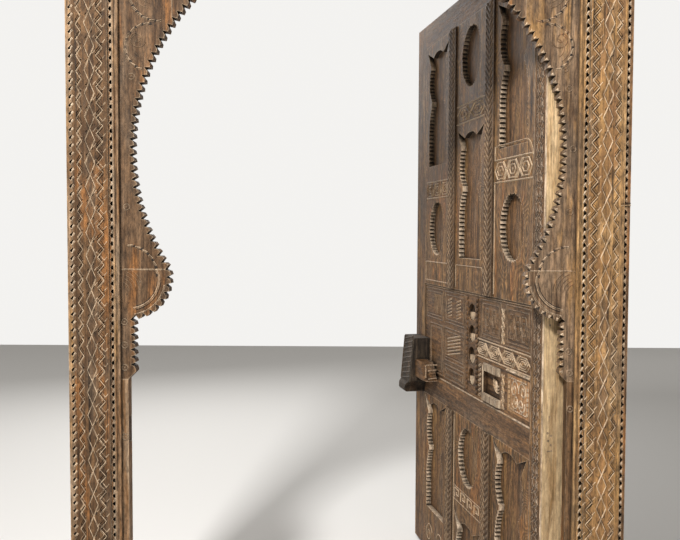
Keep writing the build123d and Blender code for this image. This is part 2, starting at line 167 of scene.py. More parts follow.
# The hinge stile's edge, in the turned coordinates that the leaf's woods use
edge_turn = Matrix.Rotation(open_angle, 3, "Z")
stile_edge = max((edge_turn @ vertex.co).x for vertex in nodes["hinge_stile"].data.vertices)
edge_start = stile_edge - 0.0035
# Faces that look this way, towards the hinge and upwards, get a painted highlight
highlight_facing = (leaf_along * 0.8 + Vector((0, 0, 0.42))).normalized()

finishes = {}


def wood(name, dark, light, patina, grain="up", recess_shade=0.85, wear_and_highlight=0.5, worn_highlight=rubbed_and_lit, depth=0.006, swirl=0.0,
         edge_shade=None, lit_side=None, reach=0.020, even=0.3):
    """Dry old wood whose grain runs up, across the frame or along the leaf.

    Recesses as far as reach are darkened with painted shade. Edges thinner than depth take the worn colour,
    which stands for wear and for painted highlight; even is how much of that is the same everywhere. Swirl
    adds gouge marks that curl like contour lines. Edge_shade is the colour of the leaf's hinge edge. The
    side colour is a painted highlight on faces which look towards the hinge and upwards, such as the ribs;
    faces that look down get painted shade in black.
    """
    material = bpy.data.materials.new(name)
    material.use_nodes = True
    tree = material.node_tree
    tree.nodes.clear()
    add, mix, shade, result = (partial(make, tree) for make in (add_node, mix_colours, ramp, calculate))
    place = add("ShaderNodeTexCoord").outputs

    def mapped(vector, **settings):
        """Coordinates turned or drawn out."""
        return add("ShaderNodeMapping", Vector=vector, **settings).outputs["Vector"]

    turned = mapped(place["Object"], Rotation=(0, 0, open_angle if grain == "along" else 0))

    def noise(across, along, detail, roughness, distortion=0.0):
        """A noise value that is drawn out along the grain."""
        scale = (across, across, along) if grain == "up" else (along, across, across)
        drawn = mapped(turned, Scale=scale)
        settings = {"Detail": detail, "Roughness": roughness, "Distortion": distortion}
        return add("ShaderNodeTexNoise", Vector=drawn, Scale=1.0, **settings).outputs["Fac"]

    streaks = noise(40, 3.6, 7, 0.66, 0.6)
    mottle = noise(85, 30, 6, 0.75)
    fibres = noise(190, 8, 4, 0.7)
    patches = noise(17, 2.6, 5, 0.66)
    greys = noise(14, 3.1, 5, 0.64, 0.4)
    checks = noise(125, 3.0, 2, 0.4, 0.15)
    specks = noise(150, 70, 2, 0.5)

    base = mix(shade(streaks, [(0.38, 0), (0.62, 1)]), dark, light)
    base = mix(shade(patches, [(0.52, 0), (0.64, 0.8)]), base, patina)
    base = mix(shade(greys, [(0.52, 0), (0.66, 0.65)]), base, weathered)
    fibre_shade = shade(fibres, [(0.32, 0.5), (0.7, 1.38)])
    base = mix(1.0, base, fibre_shade, "MULTIPLY")
    stains = shade(mottle, [(0.36, 0.36), (0.55, 1.0), (0.7, 1.42)])
    base = mix(1.0, base, stains, "MULTIPLY")
    cracks = shade(checks, [(0.31, 0.12), (0.345, 1)])
    pits = shade(specks, [(0.31, 0.25), (0.37, 1)])
    cracks = mix(0.8, cracks, pits, "MULTIPLY")
    base = mix(0.75, base, cracks, "MULTIPLY")
    height = mix(0.5, fibre_shade, cracks, "MULTIPLY")
    height = mix(0.6, height, stains, "MULTIPLY")
    kept = shade(mottle, [(0.42, even), (0.58, 1.0)])

    if swirl:
        gouges = result("PINGPONG", result("MULTIPLY", noise(8, 4.5, 1, 0.35), 58), 1)
        marks = shade(gouges, [(0.0, 1 - 0.5 * swirl), (0.4, 1), (0.65, 1), (1, 1 + 0.8 * swirl)])
        base = mix(1.0, base, marks, "MULTIPLY")
        height = mix(0.8, height, marks, "MULTIPLY")

    if edge_shade:
        on_leaf_edge = mapped(place["Object"], Rotation=(0, 0, open_angle))
        parts = add("ShaderNodeSeparateXYZ", Vector=on_leaf_edge).outputs
        beyond = result("GREATER_THAN", parts["X"], edge_start)
        edge = mix(shade(streaks, [(0.44, 0), (0.66, 0.85)]), edge_shade, honey)
        edge = mix(0.8, edge, fibre_shade, "MULTIPLY")
        edge = mix(0.55, edge, stains, "MULTIPLY")
        lower = shade(result("MULTIPLY", parts["Z"], 0.5), [(0.45, 0.66), (0.85, 1)])
        base = mix(beyond, base, mix(1.0, edge, lower, "MULTIPLY"))

    # Painted light: faces that look towards the hinge and upwards get a painted highlight, and faces that look
    # down get painted shade in black
    if lit_side:
        facing = add("ShaderNodeVectorMath", operation="DOT_PRODUCT")
        feed(tree, facing, ((0, place["Normal"]), (1, highlight_facing)))
        lit_faces = shade(facing.outputs["Value"], [(0.3, 0), (0.5, 1)])
        base = mix(mix(1.0, lit_faces, kept, "MULTIPLY"), base, lit_side)
        normal = add("ShaderNodeSeparateXYZ", Vector=place["Normal"])
        shaded_under = shade(result("MULTIPLY", normal.outputs["Z"], -1), [(0.15, 0), (0.55, 0.92)])
        base = mix(shaded_under, base, soot_and_shade_black)

    # Painted shade: recesses darken with how closed in they are, as far as reach
    hollow_shade = add("ShaderNodeAmbientOcclusion", samples=8, Distance=reach)
    base = mix(1.0, base, shade(hollow_shade.outputs["AO"], [(0.32, 1 - recess_shade), (0.82, 1)]), "MULTIPLY")
    # Thin edges take the worn colour, as wear and as painted highlight on lit ridges
    arris = add("ShaderNodeAmbientOcclusion", samples=8, inside=True, only_local=True, Distance=depth)
    bare_and_lit = shade(arris.outputs["AO"], [(0.42, wear_and_highlight), (0.78, 0)])
    base = mix(mix(1.0, bare_and_lit, kept, "MULTIPLY"), base, (*worn_highlight, 1))

    bump = add("ShaderNodeBump", Strength=0.75, Distance=0.002, Height=height)
    surface = add("ShaderNodeBsdfPrincipled", Normal=bump.outputs["Normal"])
    rough = shade(fibres, [(0.2, 0.5), (0.8, 0.78)])
    feed(tree, surface, (("Base Color", base), ("Roughness", rough), ("Specular IOR Level", 0.22)))
    add("ShaderNodeOutputMaterial", Surface=surface.outputs["BSDF"])
    finishes[name] = material


cut_edges = {"wear_and_highlight": 0.8, "worn_highlight": bright_rubbed_and_lit, "depth": 0.0015}
strip_edges = {"wear_and_highlight": 0.6, "worn_highlight": bright_rubbed_and_lit, "depth": 0.003, "recess_shade": 0.95}

wood("post_wood", umber, grey_brown, brown)
wood("casing_wood", umber, casing_brown, orange_brown, **cut_edges)
wood("casing_gold", brown, honey, gold, **cut_edges)
wood("casing_across", umber, brown, orange_brown, "across", wear_and_highlight=0.7, depth=0.0015)
wood("edge_wood", brown, tan, honey, **strip_edges)
wood("trim_gold", brown, gold, honey, **strip_edges)
wood("trim_wood", umber, brown, orange_brown, **strip_edges)
wood("trim_across", umber, brown, orange_brown, "across", wear_and_highlight=0.55, depth=0.003)
wood("arch_wood", umber, grey_brown, orange_brown, wear_and_highlight=0.55)
wood("arch_carved", umber, tan, orange_brown, **cut_edges)
wood("arch_pale", umber, dusty_brown, honey, wear_and_highlight=0.6, worn_highlight=bright_rubbed_and_lit, depth=0.0015)
# Near-black wood for dark chips and patches of painted shade, and for a crack
wood("shade_and_crack_dark", soot_and_shade_black, shadow_black, umber, wear_and_highlight=0.0, recess_shade=0.2)
# Pale wood for painted highlights on lit facets, teeth, ribs, ledge and arris, and for pale carving
wood("pale_and_highlight_wood", tan, highlight_pale, honey, wear_and_highlight=0.5, worn_highlight=bright_rubbed_and_lit, depth=0.002, recess_shade=0.4)
wood("faint_wood", umber, grey_brown, orange_brown, wear_and_highlight=0.2, depth=0.0012)
wood("sill_wood", umber, grey_brown, brown, "across")
wood("stile_wood", umber, brown, honey, wear_and_highlight=0.5, edge_shade=ochre)
wood("stile_carved", umber, weathered, brown, wear_and_highlight=0.6, worn_highlight=stile_rubbed_and_lit, depth=0.0012)
wood("board_wood", umber, brown, honey, wear_and_highlight=0.3, swirl=0.3)
wood("niche_wood", umber, warm_brown, orange_brown, wear_and_highlight=0.8, worn_highlight=bright_rubbed_and_lit, swirl=0.75, depth=0.004,
     recess_shade=0.98, lit_side=highlight_pale, reach=0.030)
wood("panel_wood", umber, light_brown, orange_brown, wear_and_highlight=0.95, worn_highlight=bright_rubbed_and_lit, depth=0.0015, recess_shade=0.95,
     even=0.6)
wood("ground_wood", orange_brown, rust_brown, honey, wear_and_highlight=0.2, depth=0.001)
wood("line_wood", tan, light_tan, honey, wear_and_highlight=0.9, worn_highlight=bright_rubbed_and_lit, recess_shade=0.6, even=0.8, depth=0.0015)
wood("pale_wood", tan, straw, tan, wear_and_highlight=0.7, worn_highlight=bright_rubbed_and_lit, depth=0.002)
wood("rail_carved", umber, grey_brown, brown, wear_and_highlight=0.6, worn_highlight=rail_rubbed_and_lit, depth=0.0012)
wood("muntin_wood", umber, casing_brown, grey_brown, wear_and_highlight=0.65, depth=0.0015)
wood("rail_wood", umber, brown, grey_brown, "along", wear_and_highlight=0.6, depth=0.0018, reach=0.03, recess_shade=0.97)
wood("lock_wood", soot_and_shade_black, lock_black, umber, wear_and_highlight=0.3, worn_highlight=lock_rubbed_and_lit, depth=0.002)
wood("bolt_wood", umber, brown, grey_brown, "along", wear_and_highlight=0.7, worn_highlight=bright_rubbed_and_lit, depth=0.002)

own_finish = {
    "arch_board_right": "arch_pale", "lobe_board_right": "arch_pale", "outer_teeth_left": "edge_wood",
    "bead_left": "edge_wood", "reveal_strip_left": "edge_wood", "bead_right": "trim_gold",
    "inner_teeth_right": "trim_gold",
}
across_nodes = {"head_beam", "head_rail", "casing_head", "outer_teeth_head", "inner_teeth_head", "bead_head"}


def finish_nodes():
    """Give each carried-over solid its wood."""
    slots = {row["node"]: row["material_slot"] for row in frame["record"]["subparts"]}
    for name, node in nodes.items():
        slot = slots[name]
        if name.startswith("niche_board"):
            slot = "niche_wood"
        elif name in across_nodes:
            slot = "sill_wood" if slot == "post_wood" else slot.replace("_wood", "_across")
        node.data.materials.clear()
        node.data.materials.append(finishes[own_finish.get(name, slot)])


finish_nodes()


# Shapes on the bench

edit = bpy.ops.mesh


def activate(piece):
    """Make a piece the active one, with nothing selected."""
    deselect()
    bpy.context.view_layer.objects.active = piece


def edit_all(piece, operator, **settings):
    """Run a mesh operator on the whole of a piece."""
    activate(piece)
    bpy.ops.object.mode_set(mode="EDIT")
    edit.select_all(action="SELECT")
    operator(**settings)
    bpy.ops.object.mode_set(mode="OBJECT")


def shape(operator, scale=(1, 1, 1), **settings):
    """A new primitive with its place, turn and scale put into its mesh."""
    deselect()
    operator(**settings)
    bpy.context.object.scale = scale
    bpy.ops.object.transform_apply(location=True, rotation=True, scale=True)
    return bpy.context.object


def run_between(start, end):
    """The run from one point of the bench to another, and the point halfway."""
    return Vector(end) - Vector(start), (Vector(start) + Vector(end)) / 2


def turned_to(spot, angle):
    """The move that turns a piece about the bench's origin and takes it to a spot."""
    return Matrix.Translation((*spot, 0)) @ Matrix.Rotation(angle, 4, "Z")


def bar(start, end, width, height, base=0.0):
    """A straight ridge of triangular section between two points of the bench."""
    run, middle = run_between(start, end)
    return shape(
        edit.primitive_cylinder_add, (width / math.sqrt(3), height / 1.5, 1), vertices=3, radius=1,
        depth=run.length, location=(middle.x, middle.y, base + height / 3),
        rotation=(math.pi / 2, 0, math.pi / 2 + math.atan2(run.y, run.x)),
    )


def polyline(points, width, height, closed=False):
    """Ridges between points, one after the other."""
    ends = points[1:] + points[:1] if closed else points[1:]
    return [bar(start, end, width, height) for start, end in zip(points, ends)]


def arc(centre, radius, start, end, width, height, base=0.0, steps=0):
    """A ridge of triangular section along an arc. Its angles are in degrees."""
    piece = shape(
        edit.primitive_circle_add, (width / math.sqrt(3), height / 1.5, 1), vertices=3, radius=1,
        fill_type="NGON", location=(radius, 0, base + height / 3), rotation=(math.pi / 2, 0, 0),
    )
    edit_all(
        piece, edit.spin, steps=steps or max(4, round(abs(end - start) / 15)),
        angle=math.radians(start - end), center=(0, 0, 0), axis=(0, 0, 1),
    )
    edit_all(piece, edit.normals_make_consistent, inside=False)
    piece.data.transform(turned_to(centre, math.radians(start)))
    return piece


def ring(centre, radius, width, height, corners):
    """A closed ridge around a point."""
    return shape(
        edit.primitive_torus_add, (1, 1, height / (width / 2)), location=(*centre, 0), major_radius=radius,
        minor_radius=width / 2, major_segments=corners, minor_segments=4,
    )


def knob(centre, radius, height):
    """A low rounded boss."""
    size = (radius, radius, height)
    return shape(edit.primitive_ico_sphere_add, size, subdivisions=1, radius=1, location=(*centre, 0))


def chip(centre, length, width, height, turn, base=0.0):
    """A small three-sided tooth, which points along turn degrees."""
    return shape(
        edit.primitive_cone_add, (width / math.sqrt(3), length / 1.5, 1), vertices=3, radius1=1, radius2=0.15,
        depth=height, location=(*centre, base + height / 2), rotation=(0, 0, math.radians(turn - 90)),
    )


def block(low, high, height):
    """A flat block with bevelled sides between two corners of the bench."""
    middle = ((low[0] + high[0]) / 2, (low[1] + high[1]) / 2, height / 2)
    piece = shape(
        edit.primitive_cone_add, vertices=4, radius1=math.sqrt(0.5), radius2=0.6, depth=height,
        rotation=(0, 0, math.pi / 4),
    )
    size = Matrix.Diagonal((high[0] - low[0], high[1] - low[1], 1, 1))
    piece.data.transform(Matrix.Translation(middle) @ size)
    return piece


def join(pieces):
    """Make one piece of several."""
    deselect()
    for piece in pieces:
        piece.select_set(True)
    bpy.context.view_layer.objects.active = pieces[0]
    if len(pieces) > 1:
        bpy.ops.object.join()
    return pieces[0]


def twin(piece, place):
    """A copy of a piece with its own mesh, laid at a place. A mirrored copy keeps its faces outward."""
    copy = piece.copy()
    copy.data = piece.data.copy()
    copy.data.transform(place)
    if place.determinant() < 0:
        copy.data.flip_normals()
    bpy.context.scene.collection.objects.link(copy)
    return copy


def spread(piece, places):
    """Copies of a piece at several places, joined. The first piece itself goes."""
    made = [twin(piece, place) for place in places]
    bpy.data.objects.remove(piece)
    return join(made)


def repeated(piece, pitch, count):
    """A row of a piece along the bench's y, as one mesh."""
    row = piece.modifiers.new("row", "ARRAY")
    row.use_relative_offset = False
    row.use_constant_offset = True
    row.constant_offset_displace = (0, pitch, 0)
    row.count = count
    activate(piece)
    bpy.ops.object.modifier_apply(modifier="row")
    return piece


def cut(blank, tool):
    """Take a tool's shape out of a blank."""
    step = blank.modifiers.new("cut", "BOOLEAN")
    step.operation = "DIFFERENCE"
    step.object = tool
    step.solver = "EXACT"
    activate(blank)
    bpy.ops.object.modifier_apply(modifier="cut")
    bpy.data.objects.remove(tool)


def groove(start, end, width, depth, top):
    """The tool of a V-shaped groove in a blank's top."""
    run, middle = run_between(start, end)
    return shape(
        edit.primitive_cylinder_add, (depth, width / 2, 1), vertices=4, radius=1, depth=run.length,
        location=(middle.x, middle.y, top), rotation=(0, math.pi / 2, math.atan2(run.y, run.x)),
    )


def notch(centre, length, width, depth, turn, top):
    """The tool of a three-sided chip in a blank's top, which points along turn degrees."""
    return shape(
        edit.primitive_cone_add, (width / math.sqrt(3), length / 1.5, 1), vertices=3, radius1=0, radius2=2,
        depth=2 * depth, location=(*centre, top), rotation=(0, 0, math.radians(turn - 90)),
    )


def trim_row(piece, low, high):
    """Cut a row off square at both ends and close it."""
    for height, outer in ((low, False), (high, True)):
        edit_all(
            piece, edit.bisect, plane_co=(0, height, 0), plane_no=(0, 1, 0), use_fill=True,
            clear_inner=not outer, clear_outer=outer,
        )
    return piece


def carved_row(width, pitch, length, cuts):
    """A flat skin along y, from 0 to length, whose repeat is cut by cuts(blank, top)."""
    blank = shape(edit.primitive_cube_add, (width, pitch, skin), size=1, location=(0, 0, skin / 2))
    cuts(blank, skin)
    bpy.ops.object.mode_set(mode="EDIT")
    edit.select_mode(type="FACE")
    edit.select_all(action="DESELECT")
    bpy.ops.object.mode_set(mode="OBJECT")
    for face in blank.data.polygons:
        face.select = abs(face.normal.y) > 0.999 and abs(abs(face.center.y) - pitch / 2) < 1e-5
    bpy.ops.object.mode_set(mode="EDIT")
    edit.delete(type="FACE")
    bpy.ops.object.mode_set(mode="OBJECT")
    repeated(blank, pitch, math.ceil(length / pitch) + 2)
    edit_all(blank, edit.remove_doubles, threshold=0.00002)
    return trim_row(blank, 0, length)


def lay(pieces, name, body, finish, place=None):
    """Lay a finished piece, or a list joined as one, in its place and hand it to its body."""
    piece = join(pieces) if isinstance(pieces, list) else pieces
    if place is not None:
        piece.data.transform(place)
    piece.name = name
    piece.data.name = name
    piece.data.materials.clear()
    piece.data.materials.append(finishes[finish])
    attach(piece, body)
    return piece


# Carving of the casings

mirror = Matrix.Diagonal((-1, 1, 1, 1))
skin = 0.004
skin_sunk = 0.0004
repeat = 0.141
zigzag_pitch = repeat / 3
lattice_pitch = repeat / 2
lattice_width = 0.030
casing_low, casing_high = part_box("casing_right")
casing_face = -casing_low[1]
casing_width = casing_high[0] - casing_low[0]
casing_middle = (casing_low[0] + casing_high[0]) / 2

# Zigzags as (place across the casing from its middle to the outer side, width, shifts of their lines).
# Lean is the slope, on the bench, of the strokes that are cut deeper.
left_plan = {
    "zigzags": ((-0.0300, 0.0200, (0, 0.0105, -0.0090)), (0.0325, 0.0155, (0, 0.0100))),
    "lean": -1,
}
right_plan = {
    "zigzags": ((-0.0375, 0.0205, (0, 0.0105, -0.0090)), (0.0310, 0.0165, (0, 0.0100))),
    "lean": 1,
}
lattice_middle = 0.0012
chip_place = 0.0085


def casing_cuts(plan):
    """Cuts of one repeat of a casing: two zigzags of two or three lines, and a chain of diamonds."""

    def cuts(blank, top):
        rise = zigzag_pitch / 2
        over = 0.03
        for middle, width, shifts in plan["zigzags"]:
            for shift in shifts:
                for way in (-1, 1):
                    line, depth = (0.0046, 0.0034) if way == plan["lean"] else (0.0032, 0.0022)
                    if shift:
                        line, depth = line * 0.8, depth * 0.7
                    reach = Vector((way * width / 2, rise / 2)) * (1 + over)
                    tools = []
                    for step in range(-1, 4):
                        foot = step * zigzag_pitch - repeat / 2 + shift + (rise if way < 0 else 0)
                        centre = Vector((middle, foot + rise / 2))
                        tools.append(groove(centre - reach, centre + reach, line, depth, top))
                    cut(blank, join(tools))
        reach, rise = lattice_width / 2, lattice_pitch / 2
        for way in (-1, 1):
            tools = []
            for crossing in (-3 * repeat / 4, -repeat / 4, repeat / 4, 3 * repeat / 4):
                half = Vector((way * reach, rise)) * 0.97
                centre = Vector((lattice_middle, crossing))
                tools.append(groove(centre - half, centre + half, 0.003, 0.0022, top))
            cut(blank, join(tools))
        chips = []
        for crossing in (-repeat / 4, repeat / 4):
            for side in (-1, 1):
                spot = (side * chip_place + lattice_middle, crossing + side * plan["lean"] * chip_place)
                chips.append(notch(spot, 0.0125, 0.0062, 0.0036, 90 - plan["lean"] * 25, top))
        cut(blank, join(chips))
        edge = casing_width / 2 - 0.009
        cut(blank, groove((edge, -repeat), (edge, repeat), 0.0014, 0.0008, top))

    return cuts


def casing_lines(plan, low):
    """Worn crests beside the grooves of one repeat, which starts at low."""
    crests = []
    rise = zigzag_pitch / 2
    for middle, width, shifts in plan["zigzags"]:
        for step in range(6):
            way = -1 if step % 2 else 1
            foot = low + step * rise - 0.0040
            start = (middle - way * width / 2, foot)
            end = (middle + way * width / 2, foot + rise)
            line = 0.0032 if way == plan["lean"] else 0.0022
            crests.append(bar(start, end, line, line * 0.5, skin))
        if len(shifts) > 2:
            for step in range(3):
                for side in (-1, 1):
                    level = low + (step + 0.5) * zigzag_pitch + side * 0.008
                    spot = Vector((middle + side * 0.0150, level))
                    half = Vector((plan["lean"] * 0.0042, 0.0052))
                    crests.append(bar(spot - half, spot + half, 0.0028, 0.0015, skin))
    reach, rise = lattice_width / 2, lattice_pitch / 2
    for way in (-1, 1):
        line = 0.0029 if way == plan["lean"] else 0.0022
        for crossing in (-repeat / 4, repeat / 4):
            half = Vector((way * reach, rise))
            centre = Vector((0, crossing + low + repeat / 2))
            crests.append(bar(centre - half, centre + half, line, line * 0.5, skin))
    return join(crests)


def casing_carving(plan, length):
    """The carved face of one casing, with x from its middle to the outer side and y along it."""
    face = carved_row(casing_width, repeat, length, casing_cuts(plan))
    crests = repeated(casing_lines(plan, -repeat / 2), repeat, math.ceil(length / repeat) + 2)
    crests = trim_row(crests, 0.001, length - 0.001)
    return join([face, crests])


def carve_casings():
    """Lay carved faces on the three casings."""
    lift = Matrix.Translation((casing_middle, 0, casing_face - skin_sunk))
    drawn = casing_carving(left_plan, casing_high[2])
    left = twin(drawn, on_frame @ mirror @ lift)
    bpy.data.objects.remove(drawn)
    lay(left, "casing_carving_left", "frame", "casing_wood")
    right = casing_carving(right_plan, casing_high[2])
    lay(right, "casing_carving_right", "frame", "casing_gold", on_frame @ lift)
    head_low, head_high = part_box("casing_head")
    head = casing_carving(right_plan, head_high[0] - head_low[0])
    origin = (head_high[0], (head_low[2] + head_high[2]) / 2, casing_face - skin_sunk)
    turned = bench_place((0, 1, 0), (-1, 0, 0), upright, origin)
    lay(head, "casing_carving_head", "frame", "casing_across", on_frame @ turned)


tooth_face = 0.0125
skin_face = 0.0183
crack_face = 0.0170


def strip_teeth(strip):
    """Pitch and number of the teeth of an upright toothed strip."""
    low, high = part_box(strip)
    length = high[2] - low[2]
    count = round(length / 0.0245)
    return length / count, count


def facets(strip, start_x, end_x, at_tips, base, start_rise=-0.006, end_rise=0.006):
    """Slanting pale facets, a painted highlight, at the notches or the tips of an upright toothed strip, from the
    bottom up.
    """
    pitch, count = strip_teeth(strip)
    place = pitch * (1.5 if at_tips else 0.94)
    facet = bar((start_x, place + start_rise), (end_x, place + end_rise), 0.0062, 0.0028, base)
    return repeated(facet, pitch, count - 2)


def carve_notches():
    """Pale facets beside the notches of the upright strips, a painted highlight on the lit faces of the cuts, and
    a dark crack in the right strip.
    """
    left = [
        facets("outer_teeth_left", -0.8455, -0.8400, False, tooth_face, end_rise=0.001),
        facets("outer_teeth_left", -0.8408, -0.8355, False, skin_face, start_rise=0, end_rise=0.007),
        facets("inner_teeth_left", -0.7240, -0.7195, True, tooth_face, start_rise=-0.005),
        bar((-0.7180, 0.02), (-0.7180, 2.80), 0.0028, 0.0022, tooth_face),
    ]
    pitch, count = strip_teeth("outer_teeth_right")
    teeth = repeated(chip((0.8475, pitch * 1.5), 0.0125, 0.0150, 0.0030, 180, tooth_face), pitch, count - 2)
    right = [facets("inner_teeth_right", 0.7165, 0.7250, True, tooth_face), teeth]
    right.append(bar((0.829, 1.5685), (0.859, 1.5705), 0.0045, 0.0040, crack_face))
    lay(left, "notch_facets_left", "frame", "pale_and_highlight_wood", on_frame)
    lay(right, "notch_facets_right", "frame", "pale_and_highlight_wood", on_frame)
    crack = bar((0.829, 1.5740), (0.859, 1.5760), 0.0035, 0.0030, crack_face)
    lay(crack, "strip_crack_right", "frame", "shade_and_crack_dark", on_frame)


carve_casings()
carve_notches()


# Carving of the arch and lobe boards


def rosette(centre):
    """A ring with a boss, where a board is pegged."""
    return [ring(centre, 0.0092, 0.0040, 0.0022, 20), knob(centre, 0.0034, 0.0026)]


def notched_arc(centre, radius, start, end, tooth=0.0225):
    """A row of slanting teeth along an arc, as bright teeth and as the dark chips beside them, which are painted
    shade.
    """
    count = max(3, round(math.radians(abs(end - start)) * radius / tooth))
    crest = bar((-0.001, -0.008), (0.002, 0.008), 0.0058, 0.003)
    hollow_shade = chip((0, 0), 0.013, 0.011, 0.0009, 240)
    rows = []
    for unit, shift in ((crest, 0), (hollow_shade, 0.5)):
        places = []
        for step in range(count + 1):
            angle = math.radians(start + (end - start) * (step + shift) / count)
            spot = (centre[0] + radius * math.cos(angle), centre[1] + radius * math.sin(angle))
            places.append(turned_to(spot, angle))
        rows.append(spread(unit, places))
    return rows


def scroll(centre, radius, start, turn=1, line=0.0045, height=0.0018):
    """A curl of three half circles that tightens towards its middle."""
    pieces = []
    tighter = 0.62
    x, y = centre
    for step in range(3):
        size = radius * tighter**step
        end = start + turn * 180
        pieces.append(arc((x, y), size, start, end, line, height))
        shift = size - size * tighter
        x += shift * math.cos(math.radians(end))
        y += shift * math.sin(math.radians(end))
        start = end
    return pieces


# Notched arcs as (centre, radius, first and last angle)
arch_borders = (
    ((0.610, 2.047), 0.070, -66, 86), ((0.580, 2.212), 0.086, -92, -6), ((0.470, 2.335), 0.085, -80, 30),
    ((0.330, 2.440), 0.085, -78, 45), ((0.170, 2.505), 0.085, -72, 70), ((0.680, 1.350), 0.092, 96, 172),
)
lobe_centre = (0.675, 1.340)
lobe_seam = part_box("lobe_board_right")[1][2]


def arch_side():
    """Carving of the right side of the arch and of its lobe: worn crests, dark chips of painted shade and faint
    lines.
    """
    rows = [notched_arc(*border) for border in arch_borders]
    raised = [row[0] for row in rows]
    chips = [row[1] for row in rows]
    faint = scroll((0.640, 2.070), 0.024, 200, 1) + scroll((0.640, 2.265), 0.030, 140, -1)
    faint += scroll((0.560, 2.350), 0.032, 320, 1) + scroll((0.600, 2.560), 0.060, 220, 1)
    faint += scroll((0.440, 2.600), 0.060, 20, -1) + scroll((0.220, 2.660), 0.055, 200, 1)
    for radius in (0.030, 0.046, 0.062):
        faint.append(arc((0.625, 2.045), radius, -60, 70, 0.004, 0.0014))
        faint.append(arc((0.600, 2.225), radius, -80, 10, 0.004, 0.0014))
    for radius, line, first in ((0.093, 0.0062, 172), (0.112, 0.0048, 190)):
        raised.append(arc(lobe_centre, radius, first, 262, line, 0.0026, steps=14))
    for radius in (0.088, 0.099):
        chips.append(arc(lobe_centre, radius, 186, 258, 0.0026, 0.0009, steps=12))
    for step in range(5):
        faint.append(arc((0.705, 1.300), 0.030 + 0.011 * step, 112, 176, 0.0045, 0.0016, steps=7))
    for spot in ((0.662, 1.382), (0.656, 1.374), (0.640, 1.330)):
        raised.append(knob(spot, 0.003, 0.002))
    raised.append(bar((0.562, lobe_seam), (0.690, lobe_seam), 0.0042, 0.0022))
    raised += polyline([(0.080, 2.760), (0.690, 2.760), (0.690, 2.640)], 0.005, 0.002)
    return raised, chips, faint


rosettes = {
    "right": (
        (0.658, 1.983), (0.671, 1.923), (0.686, 1.741), (0.680, 1.550), (0.683, 1.119), (0.687, 1.053),
        (0.691, 0.941),
    ),
    "left": (
        (-0.662, 1.958), (-0.680, 1.560), (-0.690, 1.205), (-0.690, 1.133), (-0.690, 1.063), (-0.690, 0.845),
    ),
}


def carve_arch():
    """Lay the arch's carving on both sides, each with its own rosettes."""
    raised, chips, faint = arch_side()
    # Chips are near-black pieces of painted shade in the notches
    for pieces, kind, finish in (
        (raised, "carving", "arch_carved"), (chips, "chips", "shade_and_crack_dark"), (faint, "scrolls", "faint_wood"),
    ):
        side = join(pieces)
        for piece, name in ((side, "right"), (twin(side, mirror), "left")):
            if kind == "carving":
                piece = [piece] + [part for centre in rosettes[name] for part in rosette(centre)]
            lay(piece, f"arch_{kind}_{name}", "frame", finish, on_frame)


# A circle just outside the arch's tooth tips, one through the lobe's, and the tips of the short strip below
arch_middle, arch_tips = (0.0, 1.735), 0.659
lobe_middle, lobe_tips = (0.675, 1.342), 0.131
strip_tips = {"place": 0.656, "low": 1.055, "high": 1.200}


def front_spots(node, middle):
    """Corners of a board's outline on the frame's front, with their reach and angle from a middle."""
    vertices = [vertex.co for vertex in nodes[node].data.vertices if abs(vertex.co.y) < 0.0005]
    spots = sorted({(round(spot.x, 4), round(spot.z, 4)) for spot in vertices})
    runs = [(x - middle[0], z - middle[1]) for x, z in spots]
    return [(spot, math.hypot(*run), math.atan2(run[1], run[0])) for spot, run in zip(spots, runs)]


def carve_tips():
    """Pale facets on the teeth of the right side, a painted highlight where light falls on them."""
    tips = []
    for spot, reach, angle in front_spots("arch_board_right", arch_middle):
        if reach < arch_tips:
            tips.append((spot, angle + math.pi))
    for spot, reach, angle in front_spots("lobe_board_right", lobe_middle):
        if abs(reach - lobe_tips) < 0.001:
            tips.append((spot, angle))
        elif abs(spot[0] - strip_tips["place"]) < 0.0005 and strip_tips["low"] < spot[1] < strip_tips["high"]:
            tips.append((spot, math.pi))
    pieces = spread(chip((-0.0065, 0), 0.0115, 0.0100, 0.0024, 0), [turned_to(*tip) for tip in tips])
    lay(pieces, "tooth_facets_right", "frame", "pale_and_highlight_wood", on_frame)


carve_arch()
carve_tips()


# Carving of the leaf, on a bench whose x runs from the free edge to the hinge, with two widths of ridge

fine = 0.0035
bold = 0.0055
chevron_pitch = 0.0235


def chevron_ends(width):
    """Ends of a herringbone's strokes, measured from its lowest point."""
    return (-width / 2 + 0.004, 0.036), (width / 2 - 0.005, 0.028)


def chevron_cuts(width):
    """Cuts of one repeat of a herringbone whose points look down."""

    def cuts(blank, top):
        for x, rise in chevron_ends(width):
            feet = [step * chevron_pitch for step in range(-3, 3)]
            cut(blank, join([groove((0, low), (x, low + rise), 0.0075, 0.0034, top) for low in feet]))

    return cuts


def chevron_crests(width, length):
    """Worn crests between the grooves of a herringbone."""
    foot = -0.0095
    crests = [bar((0, foot), (x, foot + rise), 0.0042, 0.0018, skin) for x, rise in chevron_ends(width)]
    row = repeated(join(crests), chevron_pitch, math.ceil(length / chevron_pitch) + 2)
    row.data.transform(Matrix.Translation((0, -chevron_pitch, 0)))
    return trim_row(row, 0.001, length - 0.001)


def carve_muntins():
    """Herringbone along the four muntins."""
    for zone in ("lower", "upper"):
        for number in (1, 2):
            low, high = leaf_extent(f"muntin_{zone}_{number}")
            length = high[1] - low[1]
            width = high[0] - low[0]
            face = carved_row(width, chevron_pitch, length, chevron_cuts(width))
            row = [face, chevron_crests(width, length)]
            place = Matrix.Translation(((low[0] + high[0]) / 2, low[1], high[2] - skin_sunk))
            lay(row, f"herringbone_{zone}_{number}", "leaf", "muntin_wood", on_leaf @ place)


